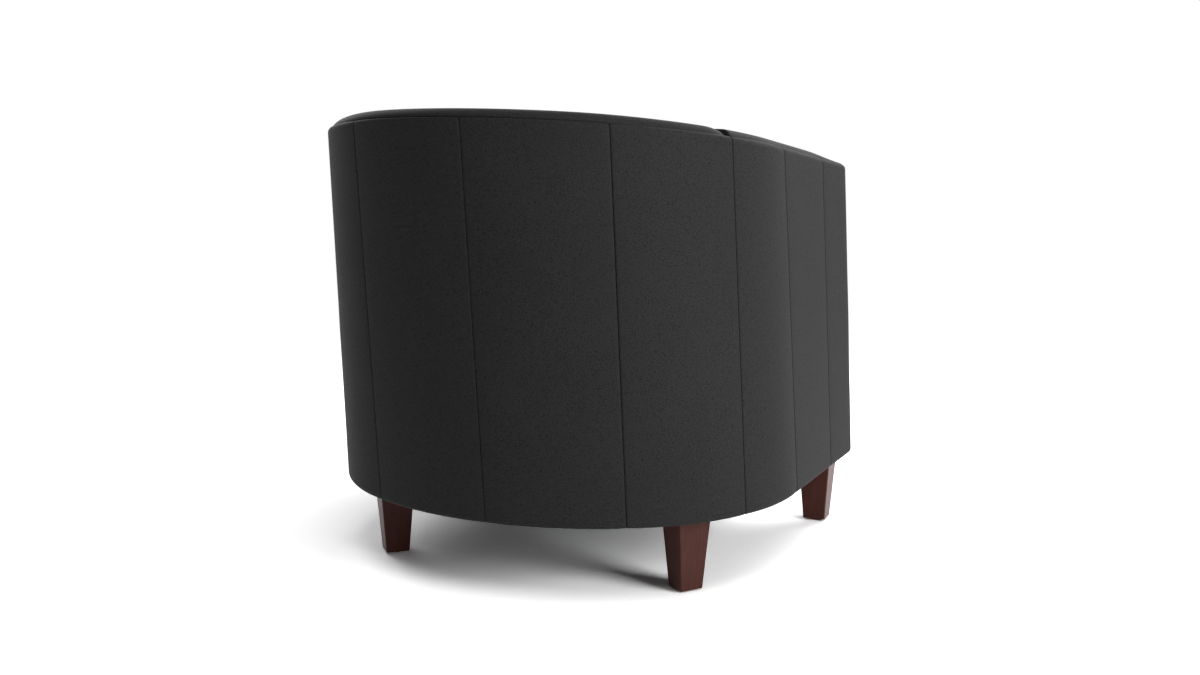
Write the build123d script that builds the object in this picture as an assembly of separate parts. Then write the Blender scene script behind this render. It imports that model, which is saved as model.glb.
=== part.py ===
from build123d import *
import math
import os

# Barrel chair: a flared shell of seamed leather panels over a plywood frame, a padded inside
# that rolls over the rim, a loose seat cushion and four tapered legs.
# Millimetres, +Z up, the sitter faces -Y, origin on the floor under the middle of the chair.

# Shell outline where the body meets the legs
BODY_BOTTOM = 122
BASE_REAR = 300
BASE_REAR_RADIUS = 440
BASE_SIDE_RADIUS = 320
BASE_FLARE = 3.5
BASE_FRONT = -364
BASE_CORNER = 45

# Shell outline at the seam under the rim roll, drawn in the sloping rim plane
SEAM_HEIGHT = 709
RIM_REAR = 364
RIM_SLOPE = 7.9
RIM_REAR_RADIUS = 384
RIM_SIDE_RADIUS = 338
RIM_FLARE = 5
RIM_DEPTH = 676
RIM_CORNER = 45
REAR_ARC_ANGLE = 30

# Room for the sitter: outline at the seat and width of the rim above it
SEAT_REAR = 186
SEAT_REAR_RADIUS = 300
SEAT_SIDE_RADIUS = 225
SEAT_FLARE = 2
RIM_WIDTH = 95

# Leather cover, linings and padding
COVER = 5
LINING = 3
PAD = 35
RAIL_DROP = 18
ROLL_REAR = 12
ROLL_FRONT = 2
ROLL_OUTER_WIDTH = 14
ROLL_INNER_WIDTH = 26
ROLL_INNER_DROP = 14
ROLL_STEPS = 4

# Seams of the outer panels, measured along the base outline from the rear centre
REAR_SEAM = 210
SHOULDER_SEAM = 406
SIDE_SEAM = 560
ARM_SEAM = 738

# Plywood and timber frame
PLY = 18
FRAME = 25
POST_WIDTH = 45
REAR_POST_DISTANCE = 150
SIDE_POST_DISTANCE = 480
BASE_RING_WIDTH = 105
SEAT_RING_OVERLAP = 15
FRONT_BAR = 50
CORNER_BLOCK = 60
CORNER_BLOCK_HEIGHT = 40

# Seat suspension and deck
DECK_HEIGHT = 300
DECK_PAD = 9
DUST_COVER = 1
SPRING_WIRE = 4
SPRING_WIDTH = 50
SPRING_PITCH = 27
SPRING_COUNT = 5
SPRING_SPACING = 88
SPRING_BEARING = 10
CLIP = 1.5
CLIP_LENGTH = 42
CLIP_DEPTH = 16

# Seat cushion
CUSHION_HEIGHT = 132
CUSHION_CROWN = 14
CUSHION_DOME_RADIUS = 2600
CUSHION_FRONT = -346
CUSHION_CORNER = 60
CUSHION_BOW = 8
CUSHION_DRAW_IN = 9

# Legs and their hardware
LEG_TOP = 56
LEG_BOTTOM = 38
LEG_EDGE = 2
REAR_LEG_ANGLE = 49.4
REAR_LEG_INSET = 70
FRONT_LEG_SIDE_INSET = 56
FRONT_LEG_FRONT_INSET = 50
GLIDE = 3
GLIDE_RADIUS = 12
GLIDE_PIN_RADIUS = 1.5
GLIDE_PIN = 14
BOLT_RADIUS = 4
BOLT_DEPTH = 40
BOLT_REACH = 5
NUT_FLANGE_RADIUS = 9
NUT_FLANGE = 1.5
NUT_BARREL_RADIUS = 5
NUT_BARREL = 12
SCREW_RADIUS = 2.5
SCREW_HEAD_RADIUS = 4.5
SCREW_HEAD = 2
SCREW_LENGTH = 40
SCREW_CORNER_INSET = 18

# Clearances
FIT = 0.05
SOFT_GAP = 0.3
CUSHION_GAP = 2
CUT_OVER = 40

RIM_PLANE = Plane(
    origin=(0, RIM_REAR, SEAM_HEIGHT),
    x_dir=(1, 0, 0),
    z_dir=(0, -math.sin(math.radians(RIM_SLOPE)), math.cos(math.radians(RIM_SLOPE))),
)
SEAM_DISTANCES = (REAR_SEAM, SHOULDER_SEAM, SIDE_SEAM, ARM_SEAM)
BASE_PLANE = Plane.XY.offset(BODY_BOTTOM)
FRAME_INSET = COVER + LINING
FRAME_INNER = FRAME_INSET + FRAME
RING_BOTTOM = BODY_BOTTOM + DUST_COVER
RING_TOP = RING_BOTTOM + PLY
SPRING_TOP = DECK_HEIGHT - DECK_PAD
SEAT_RING_TOP = SPRING_TOP - SPRING_WIRE - CLIP
SEAT_RING_BOTTOM = SEAT_RING_TOP - PLY


class Plan:
    """Half of a D outline from the rear centre: rear arc, side arc, straight side, front corner."""

    def __init__(self, rear, rear_radius, side_radius, flare, front, corner=0.0, bow=0.0, open_front=False):
        self.rear = rear
        self.rear_radius = rear_radius
        self.side_radius = side_radius
        self.flare = flare
        self.front = front
        self.corner = corner
        self.bow = bow
        self.open_front = open_front

    def inset(self, distance):
        """The same outline moved inward; an open front stays where it is."""
        front = self.front if self.open_front else self.front + distance
        corner = max(self.corner - distance, 0)
        return Plan(self.rear - distance, self.rear_radius - distance, self.side_radius - distance,
                    self.flare, front, corner, self.bow, self.open_front)

    def arc_centres(self):
        """Centres of the rear arc and of the side arc."""
        angle = math.radians(REAR_ARC_ANGLE)
        along = Vector(math.sin(angle), math.cos(angle))
        rear_centre = Vector(0, self.rear - self.rear_radius)
        return rear_centre, rear_centre + along * (self.rear_radius - self.side_radius)

    def normal_at(self, degrees):
        """Unit vector at an angle from the rear direction."""
        angle = math.radians(degrees)
        return Vector(math.sin(angle), math.cos(angle))

    def side_line(self):
        """Start, heading and length of the straight side."""
        flare = math.radians(self.flare)
        normal = self.normal_at(90 - self.flare)
        start = self.arc_centres()[1] + normal * self.side_radius
        heading = Vector(math.sin(flare), -math.cos(flare))
        inner = start - normal * self.corner
        return start, heading, (inner.Y - self.front - self.corner) / math.cos(flare)

    def lengths(self):
        """Lengths of the rear arc, the side arc and the straight side."""
        rear = self.rear_radius * math.radians(REAR_ARC_ANGLE)
        side = self.side_radius * math.radians(90 - self.flare - REAR_ARC_ANGLE)
        return rear, side, self.side_line()[2]

    def point(self, distance):
        """Point and outward normal at a distance along the half outline."""
        rear_length, side_length, _ = self.lengths()
        rear_centre, side_centre = self.arc_centres()
        if distance <= rear_length:
            normal = self.normal_at(math.degrees(distance / self.rear_radius))
            return rear_centre + normal * self.rear_radius, normal
        distance -= rear_length
        if distance <= side_length:
            normal = self.normal_at(REAR_ARC_ANGLE + math.degrees(distance / self.side_radius))
            return side_centre + normal * self.side_radius, normal
        start, heading, _ = self.side_line()
        return start + heading * (distance - side_length), self.normal_at(90 - self.flare)

    def corner_points(self):
        """Start, middle and end of the front corner arc."""
        start, heading, length = self.side_line()
        side_end = start + heading * length
        normal = self.normal_at(90 - self.flare)
        centre = side_end - normal * self.corner
        middle = centre + self.normal_at(135 - self.flare / 2) * self.corner
        return side_end, middle, Vector(centre.X, self.front)

    def rear_at(self, x):
        """The outline's rear y at a given x."""
        rear_centre, side_centre = self.arc_centres()
        if abs(x) <= self.rear_radius * math.sin(math.radians(REAR_ARC_ANGLE)):
            return rear_centre.Y + math.sqrt(self.rear_radius**2 - x**2)
        return side_centre.Y + math.sqrt(self.side_radius**2 - (abs(x) - side_centre.X)**2)

    def face(self, plane):
        """The whole outline as a face on a plane."""
        side_centre = self.arc_centres()[1]
        half_side = (REAR_ARC_ANGLE + 90 - self.flare) / 2
        shoulder = self.point(self.lengths()[0])[0]
        side_middle = side_centre + self.normal_at(half_side) * self.side_radius
        side_start = self.side_line()[0]
        corner_start, corner_middle, corner_end = self.corner_points()

        def other(point):
            return Vector(-point.X, point.Y)

        edges = [ThreePointArc(shoulder, Vector(0, self.rear), other(shoulder)),
                 ThreePointArc(other(shoulder), other(side_middle), other(side_start)),
                 Line(other(side_start), other(corner_start))]
        if self.corner:
            edges.append(ThreePointArc(other(corner_start), other(corner_middle), other(corner_end)))
        if self.bow:
            edges.append(ThreePointArc(other(corner_end), Vector(0, self.front - self.bow), corner_end))
        else:
            edges.append(Line(other(corner_end), corner_end))
        if self.corner:
            edges.append(ThreePointArc(corner_end, corner_middle, corner_start))
        edges += [Line(corner_start, side_start),
                  ThreePointArc(side_start, side_middle, shoulder)]
        return plane * Face(Wire(edges))


BASE = Plan(BASE_REAR, BASE_REAR_RADIUS, BASE_SIDE_RADIUS, BASE_FLARE, BASE_FRONT, BASE_CORNER)
RIM = Plan(0, RIM_REAR_RADIUS, RIM_SIDE_RADIUS, RIM_FLARE, -RIM_DEPTH, RIM_CORNER)
OPEN_FRONT = BASE_FRONT - 3 * CUT_OVER
BASE_OPEN = Plan(BASE_REAR, BASE_REAR_RADIUS, BASE_SIDE_RADIUS, BASE_FLARE, OPEN_FRONT, open_front=True)
RIM_OPEN = Plan(0, RIM_REAR_RADIUS, RIM_SIDE_RADIUS, RIM_FLARE, -RIM_DEPTH - 3 * CUT_OVER, open_front=True)
SEAT = Plan(SEAT_REAR, SEAT_REAR_RADIUS, SEAT_SIDE_RADIUS, SEAT_FLARE, OPEN_FRONT, open_front=True)


def on_floor(point, height):
    """A plan point at a height."""
    return Vector(point.X, point.Y, height)


def top_of(part, plane):
    """The part on the side that the plane faces."""
    return split(part, bisect_by=plane, keep=Keep.TOP)


def bottom_of(part, plane):
    """The part behind the plane."""
    return split(part, bisect_by=plane, keep=Keep.BOTTOM)


def level(height):
    """Horizontal plane."""
    return Plane.XY.offset(height)


def below_rim(drop):
    """Plane parallel to the rim seam, lower by a distance."""
    return RIM_PLANE.offset(-drop)


def over_rim(rear_lift, front_lift):
    """Plane lifted off the rim seam by one height at the rear and another at the front."""
    rear = RIM_PLANE.from_local_coords(Vector(0, 0, rear_lift))
    front = RIM_PLANE.from_local_coords(Vector(0, -RIM_DEPTH, front_lift))
    return Plane(origin=rear, x_dir=(1, 0, 0), z_dir=Vector(1, 0, 0).cross(rear - front))


def quarter_turn(steps):
    """Rise and run of a quarter round in even steps, both from 0 to 1."""
    turns = [math.radians(90 * step / steps) for step in range(steps + 1)]
    return [(math.sin(turn), 1 - math.cos(turn)) for turn in turns]


def body(inset):
    """The closed shell volume up to the rim seam, moved inward."""
    return loft([BASE.inset(inset).face(BASE_PLANE), RIM.inset(inset).face(RIM_PLANE)], ruled=True)


def open_body(inset):
    """The same volume without its front wall."""
    return loft([BASE_OPEN.inset(inset).face(BASE_PLANE), RIM_OPEN.inset(inset).face(RIM_PLANE)], ruled=True)


def cavity(growth):
    """Room for the sitter, open to the front and above, grown outward."""
    mouth = RIM_OPEN.inset(RIM_WIDTH - growth)
    return loft([SEAT.inset(-growth).face(level(DECK_HEIGHT - CUT_OVER)),
                 mouth.face(below_rim(ROLL_INNER_DROP)),
                 mouth.face(below_rim(-ROLL_REAR - CUT_OVER))], ruled=True)


def padded_cavity():
    """Room for the sitter between the pads, its mouth rounded over the rim."""
    sections = [SEAT.face(level(DECK_HEIGHT - CUT_OVER))]
    for rise, run in quarter_turn(ROLL_STEPS):
        plane = over_rim((ROLL_INNER_DROP + ROLL_REAR) * rise - ROLL_INNER_DROP,
                         (ROLL_INNER_DROP + ROLL_FRONT) * rise - ROLL_INNER_DROP)
        mouth = RIM_OPEN.inset(RIM_WIDTH - ROLL_INNER_WIDTH * run)
        sections.append(mouth.face(plane))
    sections.append(mouth.face(below_rim(-ROLL_REAR - CUT_OVER)))
    return loft(sections, ruled=True)


def rim_roll():
    """Rounded cap over the rim, highest at the rear and thinning out along the arms."""
    return loft([RIM.inset(ROLL_OUTER_WIDTH * run).face(over_rim(ROLL_REAR * rise, ROLL_FRONT * rise))
                 for rise, run in quarter_turn(ROLL_STEPS)], ruled=True)


def seam_plane(distance):
    """Plane across the shell wall at a distance along the base outline, facing forward along it."""
    low, normal = BASE.point(distance)
    high = RIM.point(distance * sum(RIM.lengths()) / sum(BASE.lengths()))[0]
    bottom = on_floor(low, BODY_BOTTOM)
    rise = RIM_PLANE.from_local_coords(high) - bottom
    return Plane(origin=bottom, z_dir=Vector(normal.X, normal.Y, 0).cross(rise))


def corner_plane():
    """Plane across the front wall where the front corner ends, facing the middle."""
    bottom = on_floor(BASE.corner_points()[2], BODY_BOTTOM)
    rise = RIM_PLANE.from_local_coords(RIM.corner_points()[2]) - bottom
    return Plane(origin=bottom, z_dir=Vector(0, -1, 0).cross(rise))


def front_plane(inset):
    """Plane along the leaning front wall, facing the rear."""
    bottom = Vector(0, BASE.inset(inset).front, BODY_BOTTOM)
    top = RIM_PLANE.from_local_coords(Vector(0, RIM.inset(inset).front, 0))
    return Plane(origin=bottom, x_dir=(1, 0, 0), z_dir=Vector(1, 0, 0).cross(top - bottom) * -1)


def arm_inside_plane():
    """Upright plane at the inside of the sitter's left arm, facing outward."""
    return Plane.YZ.offset(SEAT.side_line()[0].X)


def right_half(part):
    """The half on the +X side."""
    return top_of(part, Plane.YZ)


def both_sides(nodes, name, part):
    """Adds the +X part as the sitter's left one, and its mirror image."""
    nodes["left_" + name] = part
    nodes["right_" + name] = mirror(part, about=Plane.YZ)


def outer_panels(nodes):
    """Leather panels round the outside, the arm fronts and the border under the cushion."""
    ring = body(0) - body(COVER)
    ring -= top_of(padded_cavity(), level(DECK_HEIGHT))
    rest = right_half(ring)
    for number, distance in enumerate(SEAM_DISTANCES, start=1):
        plane = seam_plane(distance)
        both_sides(nodes, f"outer_panel_{number}", bottom_of(rest, plane))
        rest = top_of(rest, plane)
    both_sides(nodes, f"outer_panel_{len(SEAM_DISTANCES) + 1}", bottom_of(rest, corner_plane()))
    rest = top_of(rest, corner_plane())
    both_sides(nodes, "arm_front_panel", top_of(rest, arm_inside_plane()))
    border = bottom_of(rest, arm_inside_plane())
    nodes["front_border"] = border + mirror(border, about=Plane.YZ)


def inside_pads(nodes):
    """Padding of the inside back and arms, rolled over the rim down to the outside seam."""
    upper = top_of(body(COVER), below_rim(RAIL_DROP))
    lower = bottom_of(body(FRAME_INSET) & cavity(PAD), below_rim(RAIL_DROP))
    pads = top_of(rim_roll() + upper + lower - padded_cavity(), level(DECK_HEIGHT))
    rest = right_half(pads)
    plane = seam_plane(SHOULDER_SEAM)
    back = bottom_of(rest, plane)
    nodes["inside_back_pad"] = back + mirror(back, about=Plane.YZ)
    both_sides(nodes, "inside_arm_pad", top_of(rest, plane))


def plate(outline, height, thickness):
    """Flat plate of a plan outline from a height up."""
    return extrude(outline.face(level(height)), amount=thickness)


def linings(nodes):
    """Boards under the outer cover and behind the inside padding."""
    ring = body(COVER + SOFT_GAP) - body(FRAME_INSET) - top_of(padded_cavity(), level(DECK_HEIGHT))
    ring = bottom_of(top_of(ring, level(RING_BOTTOM)), below_rim(RAIL_DROP))
    half = right_half(ring)
    rear = bottom_of(half, seam_plane(REAR_SEAM))
    nodes["rear_lining"] = rear + mirror(rear, about=Plane.YZ)
    side = top_of(half, seam_plane(REAR_SEAM))
    front = bottom_of(bottom_of(side, front_plane(FRAME_INNER)), arm_inside_plane())
    nodes["front_lining"] = front + mirror(front, about=Plane.YZ)
    both_sides(nodes, "outer_lining", side - front)
    inner = (cavity(PAD + LINING) - cavity(PAD + SOFT_GAP)) & body(FRAME_INSET)
    nodes["inside_lining"] = bottom_of(top_of(inner, level(SEAT_RING_TOP)), below_rim(RAIL_DROP))


def frame_rings(nodes):
    """Plywood base ring with the leg holes, seat ring and sloping top rail."""
    base_ring = bottom_of(top_of(body(FRAME_INSET), level(RING_BOTTOM)), level(RING_TOP))
    base_ring -= plate(BASE.inset(FRAME_INSET + BASE_RING_WIDTH), BODY_BOTTOM, 2 * PLY)
    for x, y, _ in leg_places():
        base_ring -= Pos(x, y, RING_TOP) * Cylinder(NUT_BARREL_RADIUS + FIT, 4 * PLY)
    nodes["base_ring"] = base_ring
    seat_ring = top_of(open_body(FRAME_INNER), front_plane(FRAME_INNER))
    seat_ring = bottom_of(top_of(seat_ring, level(SEAT_RING_BOTTOM)), level(SEAT_RING_TOP))
    seat_ring -= plate(seat_hole(), SEAT_RING_BOTTOM - PLY, 3 * PLY)
    nodes["seat_ring"] = seat_ring - screw_holes()
    rail = body(FRAME_INSET) - cavity(PAD + LINING)
    nodes["top_rail"] = bottom_of(top_of(rail, below_rim(RAIL_DROP + PLY)), below_rim(RAIL_DROP))


def seat_hole():
    """Outline of the hole in the seat ring that the springs cross."""
    hole = SEAT.inset(SEAT_RING_OVERLAP)
    hole.front = front_at(FRAME_INNER + FRONT_BAR, SEAT_RING_TOP)
    return hole


def front_at(inset, height):
    """Y of the leaning front wall at a height, moved inward."""
    plane = front_plane(inset)
    return plane.origin.Y + (height - plane.origin.Z) * plane.y_dir.Y / plane.y_dir.Z


def frame_corner(height):
    """Inner corner of the frame, behind the front rail on the sitter's left, at a height."""
    y = front_at(FRAME_INNER, height)
    start, heading, _ = BASE.inset(FRAME_INNER).side_line()
    return Vector(start.X + (y - start.Y) * heading.X / heading.Y, y)


def corner_screw():
    """Screw down through the seat ring into a corner block, at the sitter's left."""
    corner = frame_corner(SEAT_RING_TOP)
    low = (Align.CENTER, Align.CENTER, Align.MIN)
    screw = Pos(0, 0, -SCREW_LENGTH) * Cylinder(SCREW_RADIUS, SCREW_LENGTH, align=low)
    screw += Cylinder(SCREW_HEAD_RADIUS, SCREW_HEAD, align=low)
    return Pos(corner.X - SCREW_CORNER_INSET, corner.Y + SCREW_CORNER_INSET, SEAT_RING_TOP) * screw


def screw_holes():
    """Cuts for both corner screws, with their clearance."""
    place = corner_screw().center(CenterOf.BOUNDING_BOX)
    depth = 2 * SCREW_LENGTH + 2 * FIT
    hole = Pos(place.X, place.Y, SEAT_RING_TOP) * Cylinder(SCREW_RADIUS + FIT, depth)
    return hole + mirror(hole, about=Plane.YZ)


def posts(nodes):
    """Timber posts between the base ring and the top rail, and the front rail."""
    wall = right_half(body(FRAME_INSET) - open_body(FRAME_INNER))
    wall = bottom_of(top_of(wall, level(RING_TOP)), below_rim(RAIL_DROP + PLY))
    for name, distance in (("rear_post", REAR_POST_DISTANCE), ("side_post", SIDE_POST_DISTANCE)):
        behind = top_of(wall, seam_plane(distance - POST_WIDTH / 2))
        both_sides(nodes, name, bottom_of(behind, seam_plane(distance + POST_WIDTH / 2)))
    both_sides(nodes, "front_post", bottom_of(wall, front_plane(FRAME_INSET + POST_WIDTH)))
    rail = bottom_of(body(FRAME_INSET) & open_body(FRAME_INNER), front_plane(FRAME_INNER))
    nodes["front_rail"] = bottom_of(top_of(rail, level(RING_TOP)), level(SEAT_RING_TOP))


def corner_blocks(nodes):
    """Glued blocks in the front corners of the frame, screwed to the seat ring."""
    inner = top_of(open_body(FRAME_INNER), front_plane(FRAME_INNER))
    inner = bottom_of(top_of(inner, level(SEAT_RING_BOTTOM - CORNER_BLOCK_HEIGHT)), level(SEAT_RING_BOTTOM))
    corner = frame_corner(SEAT_RING_BOTTOM)
    back = Plane(origin=(corner.X - CORNER_BLOCK, corner.Y, 0), z_dir=(1, -1, 0))
    block = top_of(inner, back) - screw_holes()
    screw = corner_screw()
    nodes["corner_blocks"] = Compound([block.solid(), mirror(block, about=Plane.YZ).solid()])
    nodes["corner_screws"] = Compound([screw.solid(), mirror(screw, about=Plane.YZ).solid()])


def leg_places():
    """Position and turn of each leg: sitter's left front, left rear and their mirror images."""
    side_centre = BASE.arc_centres()[1]
    rear = side_centre + BASE.normal_at(REAR_LEG_ANGLE) * (BASE_SIDE_RADIUS - REAR_LEG_INSET)
    front_y = BASE_FRONT + FRONT_LEG_FRONT_INSET
    start, heading, _ = BASE.side_line()
    front_x = start.X + (front_y - start.Y) * heading.X / heading.Y - FRONT_LEG_SIDE_INSET
    return [(front_x, front_y, 0), (rear.X, rear.Y, -REAR_LEG_ANGLE),
            (-front_x, front_y, 0), (-rear.X, rear.Y, REAR_LEG_ANGLE)]


def legs(nodes):
    """Tapered square legs with their bolts, nuts and glides."""
    foot = level(GLIDE) * Rectangle(LEG_BOTTOM, LEG_BOTTOM)
    head = BASE_PLANE * Rectangle(LEG_TOP, LEG_TOP)
    leg = loft([foot, head], ruled=True)
    leg = fillet(leg.edges().filter_by(lambda edge: abs(edge.tangent_at(0).Z) > 0.5), LEG_EDGE)
    leg -= Pos(0, 0, BODY_BOTTOM) * Cylinder(BOLT_RADIUS + FIT, 2 * BOLT_DEPTH)
    leg -= Pos(0, 0, GLIDE) * Cylinder(GLIDE_PIN_RADIUS + FIT, 2 * GLIDE_PIN)
    low = (Align.CENTER, Align.CENTER, Align.MIN)
    glide = Cylinder(GLIDE_RADIUS, GLIDE, align=low)
    glide = fillet(glide.edges().group_by(Axis.Z)[0], GLIDE / 3)
    glide += Cylinder(GLIDE_PIN_RADIUS, GLIDE + GLIDE_PIN, align=low)
    bolt_bottom = BODY_BOTTOM - BOLT_DEPTH
    bolt = Pos(0, 0, bolt_bottom) * Cylinder(BOLT_RADIUS, RING_TOP + BOLT_REACH - bolt_bottom, align=low)
    nut = Pos(0, 0, RING_TOP) * Cylinder(NUT_FLANGE_RADIUS, NUT_FLANGE, align=low)
    nut += Pos(0, 0, RING_TOP - NUT_BARREL) * Cylinder(NUT_BARREL_RADIUS, NUT_BARREL, align=low)
    nut -= Pos(0, 0, RING_TOP) * Cylinder(BOLT_RADIUS + FIT, 4 * NUT_BARREL)
    names = ("left_front_leg", "left_rear_leg", "right_front_leg", "right_rear_leg")
    places = [Pos(x, y, 0) * Rot(0, 0, turn) for x, y, turn in leg_places()]
    for name, place in zip(names, places):
        nodes[name] = place * leg
    nodes["leg_bolts"] = Compound([(place * bolt).solid() for place in places])
    nodes["leg_nuts"] = Compound([(place * nut).solid() for place in places])
    nodes["foot_glides"] = Compound([(place * glide).solid() for place in places])


def seat_springs(nodes):
    """Zigzag springs across the seat ring, held in clips at both ends."""
    hole = seat_hole()
    springs = []
    clips = []
    for index in range(SPRING_COUNT):
        x = (index - (SPRING_COUNT - 1) / 2) * SPRING_SPACING
        edge = abs(x) + SPRING_WIDTH / 2
        front = hole.front - SPRING_BEARING
        rear = hole.rear_at(edge) + SPRING_BEARING
        springs.append(spring(x, front, rear))
        clips += [clip(x, front, 1), clip(x, rear, -1)]
    nodes["seat_springs"] = Compound(springs)
    nodes["spring_clips"] = Compound(clips)


def spring(x, front, rear):
    """One zigzag of round-turned wire from the front bar to the rear bar."""
    turns = round((rear - front) / SPRING_PITCH)
    pitch = (rear - front) / turns
    bend = pitch / 2
    reach = SPRING_WIDTH / 2 - bend
    edges = []
    for turn in range(turns + 1):
        y = front + turn * pitch
        side = 1 if turn % 2 == 0 else -1
        edges.append(Line((x - side * reach, y), (x + side * reach, y)))
        if turn < turns:
            edges.append(ThreePointArc((x + side * reach, y), (x + side * (reach + bend), y + bend),
                                       (x + side * reach, y + pitch)))
    flat = trace(Wire(edges), line_width=SPRING_WIRE)
    return extrude(level(SPRING_TOP - SPRING_WIRE) * flat, amount=SPRING_WIRE).solid()


def clip(x, y, inward):
    """Folded plate under the end bar of a spring, with a lip behind the bar."""
    lip_y = y - inward * (SPRING_WIRE + CLIP) / 2
    plate_y = lip_y + inward * (CLIP_DEPTH - CLIP) / 2
    low = (Align.CENTER, Align.CENTER, Align.MIN)
    plate = Pos(x, plate_y, SEAT_RING_TOP) * Box(CLIP_LENGTH, CLIP_DEPTH, CLIP, align=low)
    lip = Pos(x, lip_y, SEAT_RING_TOP) * Box(CLIP_LENGTH, CLIP, CLIP + SPRING_WIRE, align=low)
    return (plate + lip).solid()


def seat_deck(nodes):
    """Felt deck on the springs and the dust cover under the base ring."""
    deck = top_of(cavity(PAD - SOFT_GAP), front_plane(FRAME_INSET + SOFT_GAP))
    nodes["seat_deck"] = bottom_of(top_of(deck, level(SPRING_TOP)), level(DECK_HEIGHT))
    cover = plate(BASE.inset(COVER + SOFT_GAP), BODY_BOTTOM, DUST_COVER)
    for x, y, _ in leg_places():
        cover -= Pos(x, y, BODY_BOTTOM) * Cylinder(BOLT_RADIUS + FIT, 4 * DUST_COVER)
    nodes["dust_cover"] = cover


def seat_cushion(nodes):
    """Boxed cushion: drawn in at its two seam lines, bowed in front and crowned on top."""
    outline = SEAT.inset(CUSHION_GAP)
    outline.front = CUSHION_FRONT
    outline.open_front = False
    outline.corner = CUSHION_CORNER
    outline.bow = CUSHION_BOW
    full_height = CUSHION_HEIGHT + CUSHION_CROWN
    sections = ((0, 1), (0.25, 0.2), (0.5, 0), (0.75, 0.2), (1, 1))
    faces = [outline.inset(CUSHION_DRAW_IN * draw).face(level(DECK_HEIGHT + full_height * share))
             for share, draw in sections]
    centre_y = (SEAT_REAR + CUSHION_FRONT) / 2
    dome = Pos(0, centre_y, DECK_HEIGHT + full_height - CUSHION_DOME_RADIUS) * Sphere(CUSHION_DOME_RADIUS)
    nodes["seat_cushion"] = loft(faces) & dome


NODES = {}
outer_panels(NODES)
inside_pads(NODES)
linings(NODES)
frame_rings(NODES)
posts(NODES)
corner_blocks(NODES)
legs(NODES)
seat_springs(NODES)
seat_deck(NODES)
seat_cushion(NODES)

os.makedirs("parts", exist_ok=True)
for node_name, solid in NODES.items():
    export_step(solid, f"parts/{node_name}.step")
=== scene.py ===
"""Barrel chair in black leather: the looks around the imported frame. Metres, +Z up, the sitter faces -Y."""
import math

import bmesh
import bpy
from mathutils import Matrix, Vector, noise


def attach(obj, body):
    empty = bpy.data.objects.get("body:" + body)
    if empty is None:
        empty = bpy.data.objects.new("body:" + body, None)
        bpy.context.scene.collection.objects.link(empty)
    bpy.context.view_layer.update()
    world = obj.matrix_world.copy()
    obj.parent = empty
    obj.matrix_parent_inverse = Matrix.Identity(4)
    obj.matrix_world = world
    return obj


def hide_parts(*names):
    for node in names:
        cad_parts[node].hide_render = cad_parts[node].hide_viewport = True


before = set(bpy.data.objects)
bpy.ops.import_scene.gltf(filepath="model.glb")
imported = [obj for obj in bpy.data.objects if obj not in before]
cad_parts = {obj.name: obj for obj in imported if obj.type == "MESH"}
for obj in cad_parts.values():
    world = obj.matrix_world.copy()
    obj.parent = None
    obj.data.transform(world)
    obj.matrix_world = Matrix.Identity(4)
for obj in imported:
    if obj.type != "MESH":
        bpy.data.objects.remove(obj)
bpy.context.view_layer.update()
MM = 0.001

# Shell outline at the floor of the body and at the seam under the rim roll
BODY_BOTTOM = 122 * MM
BASE_REAR = 300 * MM
BASE_REAR_RADIUS = 440 * MM
BASE_SIDE_RADIUS = 320 * MM
BASE_FLARE = 3.5
BASE_FRONT = -364 * MM
CORNER = 45 * MM
SEAM_HEIGHT = 709 * MM
RIM_REAR = 364 * MM
RIM_SLOPE = 7.9
RIM_REAR_RADIUS = 384 * MM
RIM_SIDE_RADIUS = 338 * MM
RIM_FLARE = 5
RIM_DEPTH = 676 * MM
REAR_ARC_ANGLE = 30
SEAMS = (210 * MM, 406 * MM, 560 * MM, 738 * MM)
PAD_SEAM = 1

# Room for the sitter and the rim round it
SEAT_REAR = 186 * MM
SEAT_REAR_RADIUS = 300 * MM
SEAT_SIDE_RADIUS = 225 * MM
SEAT_FLARE = 2
RIM_WIDTH = 95 * MM
DECK_HEIGHT = 300 * MM
PAD = 35 * MM
RAIL_DROP = 18 * MM

# Leather panels of the outside
COVER = 4.6 * MM
TOP_ROUND_REAR = 2.5 * MM
TOP_ROUND = 8 * MM
ROUND_WIDENING = (120 * MM, 300 * MM)
TUCK = 3 * MM
TUCK_SHARES = ((0.3, 0.25), (0.45, 1.0))
SEAM_ROUND = 2.4 * MM
SEAM_DIP = 0.6 * MM
SEAM_DIP_REACH = 14 * MM
PANEL_CROWN = 0.4 * MM
CROWN_UP_POWER = 0.5
CROWN_ACROSS_POWER = 0.7
HEM_ROUND = 6.5 * MM
HEM_WRAP = 20 * MM
HEM_MIDDLE = 0.6
HEM_DROP = 0.9 * MM
HEM_RISE = 0.8 * MM
UNEVEN = 0.35 * MM
UNEVEN_SIZE = 90 * MM

# Rim roll, high at the rear and thinning out along the arms
ROLL_GAP = 1.5 * MM
ROLL_REAR = 14.2 * MM
ROLL_ARM = 8.8 * MM
ROLL_FRONT = 3 * MM
ROLL_DOME = 1.5 * MM
ROLL_DOME_POWER = 0.8
ROLL_SINK = 0.5 * MM
REAR_THINNING = (160 * MM, 540 * MM)
ARM_THINNING = (700 * MM, 860 * MM)
ROLL_EDGE = 11 * MM
ROLL_OVERHANG = 2.5 * MM
ROLL_LEAN = 0.5
ROLL_START_ANGLE = 225
ROLL_START_ARM = 190
ROLL_TIGHTENING = (150 * MM, 350 * MM)
ROLL_INNER = 26 * MM

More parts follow.
